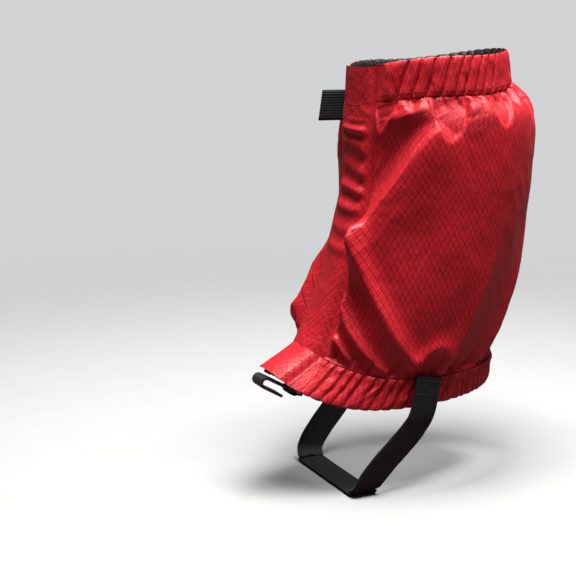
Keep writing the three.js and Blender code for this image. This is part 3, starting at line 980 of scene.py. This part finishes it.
def layer(name, left, right, inset, height, thickness, seed, face, back=None):
    """A flat layer of the front closure at a given height over the leg surface."""
    levels = np.linspace(HEM + inset, RIM - inset, LAYER_ROWS)
    leg, out, x, v = strip_points(left, right, levels, LAYER_COLUMNS)
    wobble = 0.12 * lumps(x, v, 9, 12, seed)
    points = leg + out * (height + wobble)[..., None]
    return sheet(name, points, thickness, np.stack([x, v], axis=2), face, back)


def build_closure():
    """The layers under the flap, from the leg outwards."""
    placket = layer("front_inner_placket", FLAP_EDGE_X, UNDERLAP_X, 0.03, 0.4, CLOTH, 84,
                    NYLON, INSIDE_SHADE)
    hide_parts("inner_placket")
    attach(placket, "medial_front")
    loops = layer("closure_loop_tape", -TAPE_HALF, TAPE_HALF, 0.1, 1.6, TAPE, 96,
                  LOOP_TAPE)
    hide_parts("loop_tape")
    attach(loops, "medial_front")
    hooks = layer("closure_hook_tape", -TAPE_HALF, TAPE_HALF, 0.1, 2.8, TAPE, 108,
                  HOOK_TAPE)
    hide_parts("lower_hook_tape", "upper_hook_tape")
    follow_flap(hooks)


# ------------------------------------------------------------------ webbing and hook
def ribbon(name, path, across, width, thickness, material, rib=1.7):
    """A flat woven band with raised ribs that follows a path of points, its width along `across`.
    Returns the piece and the grid of its outer face."""
    share = np.linspace(-0.5, 0.5, 4 * int(width / rib) + 1)
    points = path[:, None] + across[:, None] * (width * share)[None, :, None]
    out = unit(np.cross(across, np.gradient(path, axis=0)))
    ribs = 0.08 * np.cos(share * width * 2 * math.pi / rib)
    selvedge = -0.3 * thickness * np.abs(2 * share) ** 12
    points = points + out[:, None] * (thickness / 2 + ribs + selvedge)[None, :, None]
    along = lengths_along(path)[:, None]
    uv = np.stack(np.broadcast_arrays(share * width, along), axis=2)
    return sheet(name, points, thickness, uv, material), points


def box_stitches(name, points, rows, inset):
    """Black thread sewn round a box of a ribbon's face and once across it."""
    first, last = rows
    left, right = inset, points.shape[1] - 1 - inset
    corners = np.array([(first, left), (first, right), (last, right), (last, left), (first, left),
                        (last, right)])
    share = np.linspace(0, 1, 24)[:, None]
    spots = np.concatenate([a + (b - a) * share for a, b in zip(corners, corners[1:])])
    spots = tuple(np.rint(spots).astype(int).T)
    return stitches(name, points[spots], normals_of(points)[spots], BLACK_THREAD)


def smooth_path(corners, spacing):
    """Points along a soft curve through the corners."""
    corners = np.array(corners, float)
    ends = [2 * corners[0] - corners[1], *corners, 2 * corners[-1] - corners[-2]]
    out = []
    for four in zip(ends, ends[1:], ends[2:], ends[3:]):
        count = max(int(np.linalg.norm(four[2] - four[1]) / spacing), 1)
        for f in np.arange(count) / count:
            out.append(spline(*four, f))
    out.append(corners[-1])
    return np.array(out)


TAB_THICK = 2.0           # two layers of webbing


def build_tab():
    """A doubled piece of webbing sewn under the flap's free edge, bent forwards."""
    low, high = (Vector(c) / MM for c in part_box("pull_tab"))
    height = (low.z + high.z) / 2
    root = np.array([FLAP_EDGE_X + 6, high.y + 0.6, height])
    edge = np.array([high.x - 1, high.y - 0.4, height])
    bend = np.array([high.x - 4.2, high.y - 3.2, height])
    tip = np.array([low.x + 1.2, low.y - 1.2, height])
    path = smooth_path([root, edge, bend, tip], 0.8)
    lean = np.linspace(0, 0.12, len(path))
    across = np.stack([0.4 * lean, lean, np.ones(len(path))], axis=1)
    tab, _ = ribbon("flap_pull_tab", path, across, high.z - low.z, TAB_THICK, WEBBING)
    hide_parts("pull_tab")
    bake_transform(tab)


STRAP_THICK = 1.6
STRAP_WIDTH = 19
STRAP_TURN = 12           # radius of the turn under the foot
# The strap hangs in a U. These are points (x, y, z) of its lateral side.
STRAP_END = (50, 42, 78)
STRAP_HEM = (50, 37.5, 55)
STRAP_FOOT = (44, 0, 13)


def strap_forward(z):
    """Forward place of the strap below the hem: it leaves in line with its end, then levels off."""
    slope = (STRAP_END[1] - STRAP_HEM[1]) / (STRAP_END[2] - STRAP_HEM[2])
    t = z / STRAP_HEM[2]
    return (3 - 2 * t) * t * t * STRAP_HEM[1] - (1 - t) * t * t * slope * STRAP_HEM[2]


def strap_side():
    """Corners from the sewn end to the sole."""
    corners = [STRAP_END, STRAP_HEM]
    for z in (44, 33, 23):
        share = (z - STRAP_FOOT[2]) / (STRAP_HEM[2] - STRAP_FOOT[2])
        x = STRAP_FOOT[0] + (STRAP_HEM[0] - STRAP_FOOT[0]) * share
        corners.append((x, strap_forward(z), z))
    for turned in np.radians((0, 30, 60, 90)):
        z = STRAP_FOOT[2] - STRAP_TURN * math.sin(turned)
        x = STRAP_FOOT[0] - STRAP_TURN * (1 - math.cos(turned))
        corners.append((x, strap_forward(z), z))
    return corners


def build_strap():
    """Down the medial side, flat under the arch and up the lateral side."""
    side = strap_side()
    medial = [(-x, y, z) for x, y, z in side]
    path = smooth_path([*medial, *reversed(side)], 1.2)
    path[:, 2] = np.maximum(path[:, 2], STRAP_THICK / 2)
    tangent = unit(np.gradient(path, axis=0))
    across = unit(np.array([0.0, 1.0, 0.0]) - tangent * tangent[:, 1:2])
    strap, face = ribbon("instep_strap_band", path, across, STRAP_WIDTH, STRAP_THICK, ELASTIC)
    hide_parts("instep_strap")
    rows = len(path)
    pieces = [strap]
    for place, ends in (("medial", (2, 9)), ("lateral", (rows - 3, rows - 10))):
        pieces.append(box_stitches(f"{place}_strap_stitches", face, ends, 4))
    for piece in pieces:
        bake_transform(piece)


LOOP_WIDTH = 10
LOOP_THICK = 0.9
HOOK_BAR = np.array([0, -34.5, 66.2])
HOOK_TILT = math.radians(30)
HOOK_FORWARD = np.array([0, -math.cos(HOOK_TILT), math.sin(HOOK_TILT)])
HOOK_UP = np.array([0, math.sin(HOOK_TILT), math.cos(HOOK_TILT)])


def build_hook_loop():
    """Webbing folded round the hook's bar. Its ends lie together behind the bar, about 12 mm short
    of the hem."""
    half = 2.4
    side = [(-8.4, 0.5), (-5.2, 1.2), (-3.2, half), (0.6, half), (2.4, 1.3)]
    corners = [*side, (2.7, 0), *[(f, -h) for f, h in reversed(side)]]
    path = smooth_path([HOOK_BAR + HOOK_FORWARD * f + HOOK_UP * h for f, h in corners], 0.5)
    across = np.tile([-1.0, 0.0, 0.0], (len(path), 1))
    loop, _ = ribbon("hook_webbing_loop", path, across, LOOP_WIDTH, LOOP_THICK, WEBBING, 1.4)
    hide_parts("hook_loop")
    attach(loop, "lateral_front")


def build_hook():
    """The CAD hook's own shape with its sharp edges rounded."""
    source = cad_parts["lace_hook"]
    hook = link("lace_hook_plate", source.data.copy())
    hook.data.name = hook.name
    hook.matrix_world = source.matrix_world
    hook.data.materials.clear()
    hook.data.materials.append(METAL)
    bevel = hook.modifiers.new("rounding", "BEVEL")
    bevel.width = 0.5 * MM
    bevel.segments = 3
    bevel.limit_method = "ANGLE"
    bevel.angle_limit = math.radians(40)
    hook.data.shade_smooth()
    weighted = hook.modifiers.new("shading", "WEIGHTED_NORMAL")
    weighted.keep_sharp = True
    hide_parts("lace_hook")
    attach(hook, "hook")


# ------------------------------------------------------------------ stage, light and camera
PALE = (0.80, 0.81, 0.82)
LAMP_PLACE = Vector((0.15, 0.07, 1.30))
LAMP_TARGET = Vector((0, 0.03, 0.15))
LAMP_SIZE = (0.8, 0.7)
LAMP_WATTS = 49
SEEN_ROOM = 0.8           # brightness of the room behind the object
FELT_ROOM = 0.07          # brightness of the light that it sends onto the object


def build_floor():
    """A floor that looks pale to the camera and fades into the room's colour with distance, so no
    horizon shows.
    """
    bpy.ops.mesh.primitive_plane_add(size=12, location=(0, 0, -0.0004))
    floor = bpy.context.object
    floor.name = "floor"
    n = Nodes("pale_floor")
    place = n.tree.nodes.new("ShaderNodeTexCoord").outputs["Object"]
    far = n.tree.nodes.new("ShaderNodeVectorMath")
    far.operation = "LENGTH"
    n.join(place, far.inputs[0])
    fade = n.remap(far.outputs["Value"], 0.25, 0.95, 0, 1)
    grain = n.noise(40, 3, object_space=True)
    pale = n.blend(grain, (0.42, 0.42, 0.415), (0.45, 0.45, 0.445))
    seen = n.tree.nodes.new("ShaderNodeLightPath").outputs["Is Camera Ray"]
    # To every ray but the camera's the floor is dark and reddish: painted shade, so the cloth picks up
    # little pale bounce light and reflection from it.
    n.finish(base_color=n.blend(seen, (0.08, 0.035, 0.035), pale), roughness=0.55)
    clear = n.tree.nodes.new("ShaderNodeBsdfTransparent")
    mix = n.tree.nodes.new("ShaderNodeMixShader")
    n.join(fade, mix.inputs[0])
    n.tree.links.new(n.shader.outputs[0], mix.inputs[1])
    n.tree.links.new(clear.outputs[0], mix.inputs[2])
    n.tree.links.new(mix.outputs[0], n.tree.nodes["Material Output"].inputs[0])
    floor.data.materials.append(n.material)
    floor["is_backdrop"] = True


def build_light():
    """A soft lamp overhead in a pale room that is seen more than it is felt."""
    lamp = bpy.data.lights.new("overhead", "AREA")
    lamp.shape = "RECTANGLE"
    lamp.size, lamp.size_y = LAMP_SIZE
    lamp.energy = LAMP_WATTS
    light = link("overhead", lamp)
    light.location = LAMP_PLACE
    light.rotation_euler = (LAMP_TARGET - LAMP_PLACE).to_track_quat("-Z", "Y").to_euler()
    world = bpy.data.worlds.new("room")
    world.use_nodes = True
    tree = world.node_tree
    seen, felt = tree.nodes["Background"], tree.nodes.new("ShaderNodeBackground")
    for node, strength in ((seen, SEEN_ROOM), (felt, FELT_ROOM)):
        node.inputs["Color"].default_value = (*PALE, 1)
        node.inputs["Strength"].default_value = strength
    path = tree.nodes.new("ShaderNodeLightPath")
    mix = tree.nodes.new("ShaderNodeMixShader")
    tree.links.new(path.outputs["Is Camera Ray"], mix.inputs[0])
    tree.links.new(felt.outputs[0], mix.inputs[1])
    tree.links.new(seen.outputs[0], mix.inputs[2])
    tree.links.new(mix.outputs[0], tree.nodes["World Output"].inputs[0])
    bpy.context.scene.world = world
    bpy.context.scene.view_settings.view_transform = "Standard"


# The camera that was fitted to the photo.
CAMERA_TURN = math.radians(65)
CAMERA_TILT = math.radians(11.9)
CAMERA_PLACE = (0.7315, -0.3766, 0.304)
CAMERA_LENS = 79.7


def build_camera():
    data = bpy.data.cameras.new("camera")
    data.lens = CAMERA_LENS
    data.sensor_width = 36
    camera = link("camera", data)
    camera.location = CAMERA_PLACE
    camera.rotation_euler = (math.pi / 2 - CAMERA_TILT, 0, CAMERA_TURN)
    bpy.context.scene.camera = camera


build_leg()
build_flap()
build_closure()
build_tab()
build_strap()
build_hook_loop()
build_hook()
build_floor()
build_light()
build_camera()

[list(corner) for corner in CAD_BOX]
[list(corner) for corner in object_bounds()]
